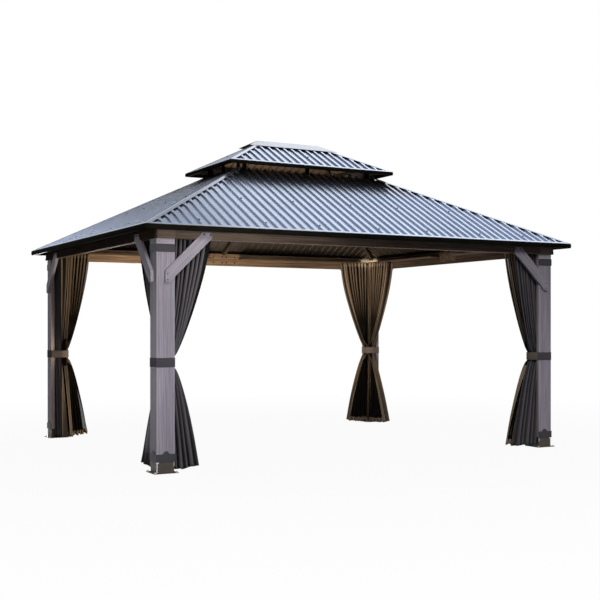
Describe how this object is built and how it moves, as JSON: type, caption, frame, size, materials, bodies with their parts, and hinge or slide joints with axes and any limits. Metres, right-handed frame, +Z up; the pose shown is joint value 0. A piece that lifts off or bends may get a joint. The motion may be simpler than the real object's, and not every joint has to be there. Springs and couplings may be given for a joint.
{
  "type": "hardtop gazebo",
  "caption": "Open hardtop gazebo with a two-tier ribbed hip roof, angle posts, knee braces and tied-back curtains with nets.",
  "frame": {"origin": "centre of the plan, on the ground under the base plates", "axes": "+X along the long side to the right, -Y to the front, +Z up"},
  "size_m": [4.27, 3.658, 3.0177],
  "materials": {
    "woodgrain_post": "satin wood-grain coating, grain upright",
    "woodgrain_brace": "satin wood-grain coating, grain along the brace",
    "foot_steel": "dark brown coated steel with bare bright edges",
    "band_grey": "satin dark grey",
    "woodgrain_beam": "satin wood-grain coating, grain along the beam",
    "track_metal": "satin brown",
    "rafter_brown": "satin dark brown",
    "dark_trim": "semi-gloss near-black",
    "cap_sheet": "semi-gloss blue-grey",
    "roof_sheet": "semi-gloss blue-grey, dark brown beneath",
    "curtain_cloth": "woven polyester, matt",
    "net_mesh": "fine black netting",
    "tie_cloth": "woven polyester strap with stitched edges"
  },
  "bodies": {
    "root": {"front_left_post": "woodgrain_post", "front_right_post": "woodgrain_post", "back_right_post": "woodgrain_post", "back_left_post": "woodgrain_post", "front_left_foot": "foot_steel", "front_right_foot": "foot_steel", "back_right_foot": "foot_steel", "back_left_foot": "foot_steel", "top_bands": "band_grey", "skirt_bands": "band_grey", "front_beam": "woodgrain_beam", "right_beam": "woodgrain_beam", "back_beam": "woodgrain_beam", "left_beam": "woodgrain_beam", "beam_splices": "woodgrain_beam", "knee_braces": "woodgrain_brace", "curtain_tracks": "track_metal", "hip_rafters": "rafter_brown", "middle_rafters": "rafter_brown", "vent_curb": "rafter_brown", "vent_posts": "dark_trim", "upper_frame": "rafter_brown", "front_lower_roof": "roof_sheet", "right_lower_roof": "roof_sheet", "back_lower_roof": "roof_sheet", "left_lower_roof": "roof_sheet", "front_upper_roof": "roof_sheet", "right_upper_roof": "roof_sheet", "back_upper_roof": "roof_sheet", "left_upper_roof": "roof_sheet", "lower_fascia_trim": "dark_trim", "upper_fascia_trim": "dark_trim", "lower_hip_caps": "cap_sheet", "upper_hip_caps": "cap_sheet", "ridge_cap": "cap_sheet", "front_left_curtains": "curtain_cloth", "front_right_curtains": "curtain_cloth", "back_right_curtains": "curtain_cloth", "back_left_curtains": "curtain_cloth", "front_left_nets": "net_mesh", "front_right_nets": "net_mesh", "back_right_nets": "net_mesh", "back_left_nets": "net_mesh", "curtain_ties": "tie_cloth"}
  },
  "joints": []
}
